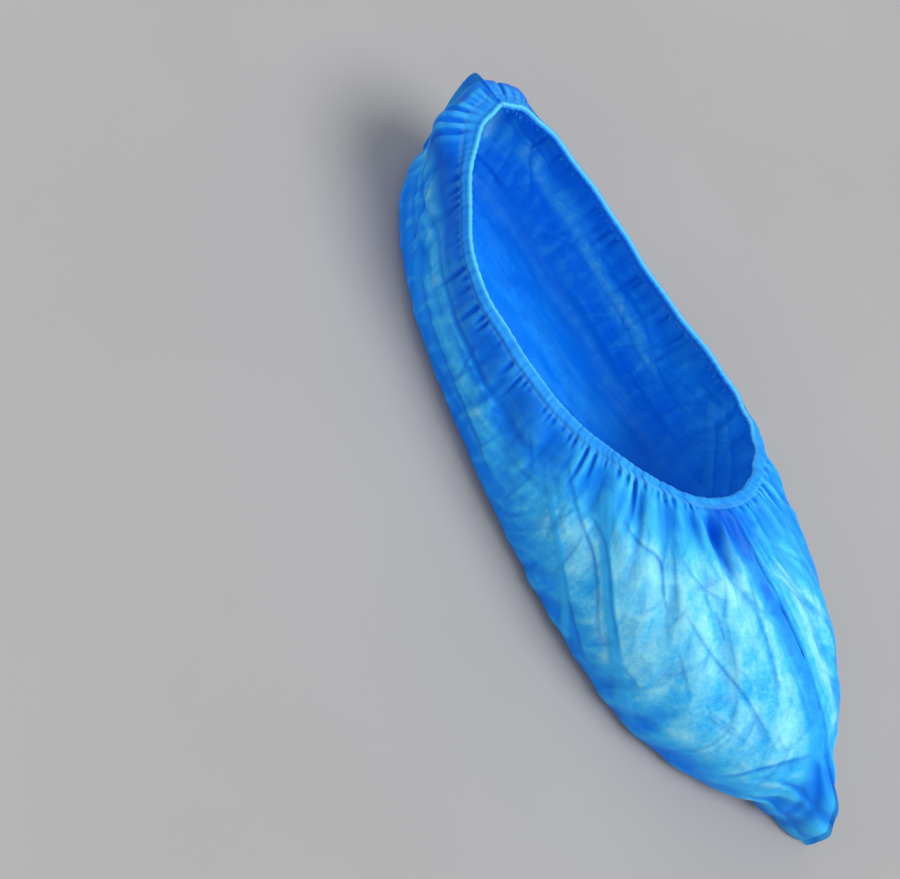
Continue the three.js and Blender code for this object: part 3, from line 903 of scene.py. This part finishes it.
class Wire:
    # one output of a node, usable in sums
    def __init__(self, tree, socket=None):
        self.tree = tree
        self.socket = socket

    def add(self, kind, settings=None, sockets=None, out=0):
        node = self.tree.nodes.new(kind)
        for name, value in (settings or {}).items():
            setattr(node, name, value)
        for key, value in (sockets or {}).items():
            if isinstance(value, Wire):
                self.tree.links.new(value.socket, node.inputs[key])
            else:
                node.inputs[key].default_value = value
        return Wire(self.tree, None if out is None else node.outputs[out])

    def maths(self, operation, *values, clamp=False):
        settings = {"operation": operation, "use_clamp": clamp}
        return self.add("ShaderNodeMath", settings, dict(enumerate(values)))

    def __add__(self, other):
        return self.maths("ADD", self, other)

    def __radd__(self, other):
        return self.maths("ADD", other, self)

    def __sub__(self, other):
        return self.maths("SUBTRACT", self, other)

    def __rsub__(self, other):
        return self.maths("SUBTRACT", other, self)

    def __mul__(self, other):
        return self.maths("MULTIPLY", self, other)

    def __rmul__(self, other):
        return self.maths("MULTIPLY", other, self)

    def clamp(self):
        return self.maths("ADD", self, 0.0, clamp=True)

    def blend(self, factor, first, second):
        sockets = {0: factor, 6: first, 7: second}
        return self.add("ShaderNodeMix", {"data_type": "RGBA"}, sockets, out=2)

    def noise(self, vector, scale, detail, roughness=0.5):
        sockets = {"Vector": vector, "Scale": scale, "Detail": detail, "Roughness": roughness}
        return self.add("ShaderNodeTexNoise", None, sockets)

    def attribute(self, name, out="Fac"):
        return self.add("ShaderNodeAttribute", {"attribute_name": name}, out=out)

    def show(self, shader):
        self.add("ShaderNodeOutputMaterial", {"is_active_output": True}, {"Surface": shader}, out=None)


def newMaterial(name):
    material = bpy.data.materials.new(name)
    material.use_nodes = True
    material.node_tree.nodes.clear()
    net = Wire(material.node_tree)
    return material, net, net.add("ShaderNodeTexCoord", out="Object")


# Film finish: linear colours, sizes of the patterns, and the weights of what makes the film lighter or
# darker, painted highlight and painted shade among them
filmFinish = {
    # the deep blue and crease colours are painted shade; the edge colour paints the weld line and the painted
    # highlight
    "deepShade": (0.0, 0.08, 0.60, 1),
    "crease": (0.0, 0.15, 0.68, 1),
    "mid": (0.001, 0.23, 0.92, 1),
    "light": (0.05, 0.53, 0.92, 1),
    "pale": (0.27, 0.80, 0.94, 1),
    "edge": (0.14, 0.66, 1.0, 1),
    "through": (0.004, 0.30, 1.0, 1),
    "throughShare": 0.16,
    "noises": {               # scale, detail and roughness
        "patch": (26, 2, 0.4),
        "speck": (320, 4, 0.7),
        "grain": (700, 3, 0.6),
    },
    "streaks": {              # scale around the hem, down and out along a seam, then detail and roughness
        "fine": ((330, 34, 60), 4, 0.6),
        "wide": ((95, 14, 60), 3, 0.5),
        "flankFine": ((20, 150, 60), 4, 0.6),
        "flankWide": ((9, 70, 60), 3, 0.5),
    },
    "embossScale": 1600,
    "base": 0.12,
    # the flank weight is painted shade on the flanks, the glint weight a painted highlight on ridges
    "flank": -0.08,
    "lying": 0.56,
    "glint": 0.36,
    "mottle": 0.22,
    "mottleLying": 0.42,
    "mottleWide": 1.6,
    "mottleStreak": 2.3,
    "mottleSpeck": 0.9,
    "mottleGrain": 0.7,
    "doubledTone": 0.38,
    "doubledShare": 0.9,
    "creaseShadeShare": 0.72,
    "deepShadeShare": 0.85,
    "weldAndHighlightShare": 0.85,
    "roughness": 0.44,
    "roughGrain": 0.25,
    "roughPatch": 0.15,
    "specular": 0.08,
    "bumpStrength": 0.35,
    "bumpDistance": 0.0006,
}


def filmMaterial():
    look = filmFinish
    material, net, position = newMaterial("blue_film")
    own = net.attribute("own", "Vector")
    fold, glint, deepShade, lying, weld, flank, doubled = (
        net.attribute(name) for name in ("fold", "glint", "deepShade", "lying", "weld", "flank", "doubled"))

    # streaks run down the film at the front and lengthwise on the flanks
    fine, wide, flankFine, flankWide = (
        net.noise(net.add("ShaderNodeMapping", None, {"Vector": own, "Scale": scale}), 1, *rest)
        for scale, *rest in look["streaks"].values())
    streak = fine + (flankFine - fine) * flank
    wideStreak = wide + (flankWide - wide) * flank
    patch, speck, grain = (net.noise(position, *noise) for noise in look["noises"].values())
    mottle = (patch - 0.5) + (wideStreak - 0.5) * look["mottleWide"] + (streak - 0.5) * look["mottleStreak"]
    mottle = mottle + (speck - 0.5) * look["mottleSpeck"] + (grain - 0.5) * look["mottleGrain"]

    # lightness from mid blue over light to pale, with painted shade on the flanks and a painted highlight on
    # ridges, then the painted shade in creases, the deep blue painted shade, and the hem's weld line and
    # painted highlight
    lightness = lying * look["lying"] + look["base"] + flank * look["flank"] + glint * look["glint"]
    lightness = lightness + mottle * (lying * look["mottleLying"] + look["mottle"])
    lightness = lightness + (look["doubledTone"] - lightness) * doubled * look["doubledShare"]
    lightness = lightness.clamp()
    midTone = net.blend((lightness * 2.0).clamp(), look["mid"], look["light"])
    upTone = net.blend((lightness * 2.0 - 1.0).clamp(), midTone, look["pale"])
    creaseShaded = net.blend((fold * look["creaseShadeShare"]).clamp(), upTone, look["crease"])
    toned = net.blend((deepShade * look["deepShadeShare"]).clamp(), creaseShaded, look["deepShade"])
    colour = net.blend((weld * look["weldAndHighlightShare"]).clamp(), toned, look["edge"])
    roughness = look["roughness"] + (grain - 0.5) * look["roughGrain"] + (patch - 0.5) * look["roughPatch"]
    emboss = net.add("ShaderNodeTexVoronoi", {"feature": "F1"}, {
        "Vector": position, "Scale": look["embossScale"]})
    relief = emboss * 0.25 + streak * 0.9 + speck * 0.5
    bump = net.add("ShaderNodeBump", None, {
        "Strength": look["bumpStrength"], "Distance": look["bumpDistance"], "Height": relief})
    surface = net.add("ShaderNodeBsdfPrincipled", None, {
        "Base Color": colour, "Roughness": roughness.clamp(), "Normal": bump,
        "IOR": 1.5, "Specular IOR Level": look["specular"]})
    through = net.add("ShaderNodeBsdfTranslucent", None, {"Color": look["through"]})
    net.show(net.add("ShaderNodeMixShader", None, {0: look["throughShare"], 1: surface, 2: through}))
    return material


elasticFinish = {
    "light": (0.42, 0.72, 0.86, 1),
    "dark": (0.16, 0.48, 0.75, 1),
    "wrapScale": 1400,
    "roughness": 0.8,
}


def elasticMaterial():
    material, net, position = newMaterial("covered_elastic")
    wrap = net.noise(position, elasticFinish["wrapScale"], 2)
    colour = net.blend(wrap, elasticFinish["dark"], elasticFinish["light"])
    bump = net.add("ShaderNodeBump", None, {"Strength": 0.5, "Distance": 0.0002, "Height": wrap})
    net.show(net.add("ShaderNodeBsdfPrincipled", None, {
        "Base Color": colour, "Roughness": elasticFinish["roughness"], "Normal": bump}))
    return material


def dressCover():
    finish = filmMaterial()
    for name, start in film["layers"].items():
        mesh = layerMesh(name, *buildLayer(start))
        mesh.materials.append(finish)
        layer = bpy.data.objects.new(name, mesh)
        bpy.context.collection.objects.link(layer)
        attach(layer, "root")
        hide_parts("film_cover")
        area = sum(polygon.area for polygon in mesh.polygons)
        print(name, len(mesh.vertices), "points", 2 * len(mesh.polygons), "triangles", round(area, 4), "m2")
    elastic = bpy.data.objects["elastic"]
    elastic.data.materials.clear()
    elastic.data.materials.append(elasticMaterial())
    print("elastic finished")


# Stage: pale floor, soft light and the camera
stage = {
    "floorSize": 40.0,
    "floorTones": ((0.288, 0.284, 0.286, 1), (0.326, 0.322, 0.324, 1)),
    "skyColour": (0.96, 0.98, 1.0, 1),
    "skyStrength": 0.5,
    "suns": {                 # direction towards the light, strength, spread in degrees
        "key": ((0.2, -0.6, 1.2), 2.7, 38),
        "side": ((-0.8, -0.3, 1.0), 0.42, 60),
        "rear": ((-0.1, 1.1, 0.9), 0.5, 60),
    },
    "camera": (-0.4064, 0.0341, 0.5386),
    "cameraTurn": (18.422, -28.895, -32.349),     # degrees about X, Y and Z
    "lens": 68.0,
}


def floorMaterial():
    material, net, position = newMaterial("pale_floor")
    tone = net.blend(net.noise(position, 9, 4), *stage["floorTones"])
    net.show(net.add("ShaderNodeBsdfPrincipled", None, {"Base Color": tone, "Roughness": 0.9}))
    return material


def setStage():
    half = stage["floorSize"] / 2
    mesh = bpy.data.meshes.new("floor")
    ends = [(-half, -half, 0), (half, -half, 0), (half, half, 0), (-half, half, 0)]
    mesh.from_pydata(ends, [], [(0, 1, 2, 3)])
    mesh.materials.append(floorMaterial())
    floor = bpy.data.objects.new("floor", mesh)
    bpy.context.collection.objects.link(floor)
    world = bpy.data.worlds.new("studio")
    world.use_nodes = True
    background = world.node_tree.nodes["Background"]
    background.inputs["Color"].default_value = stage["skyColour"]
    background.inputs["Strength"].default_value = stage["skyStrength"]
    bpy.context.scene.world = world

    for name, (place, strength, spread) in stage["suns"].items():
        lamp = bpy.data.lights.new(name, "SUN")
        lamp.energy = strength
        lamp.angle = math.radians(spread)
        sun = bpy.data.objects.new(name, lamp)
        sun.rotation_euler = Vector(place).to_track_quat("Z", "Y").to_euler()
        bpy.context.collection.objects.link(sun)

    view = bpy.data.cameras.new("photo_view")
    view.lens = stage["lens"]
    view.sensor_width = 36
    view.clip_start = 0.01
    camera = bpy.data.objects.new("photo_view", view)
    turn = Euler([math.radians(angle) for angle in stage["cameraTurn"]])
    camera.matrix_world = Matrix.LocRotScale(Vector(stage["camera"]), turn, None)
    bpy.context.collection.objects.link(camera)
    bpy.context.scene.camera = camera
    bpy.context.scene.view_settings.view_transform = "Standard"      # keeps the film's strong blue
    print("stage: floor, three soft suns, camera")


dressCover()
setStage()
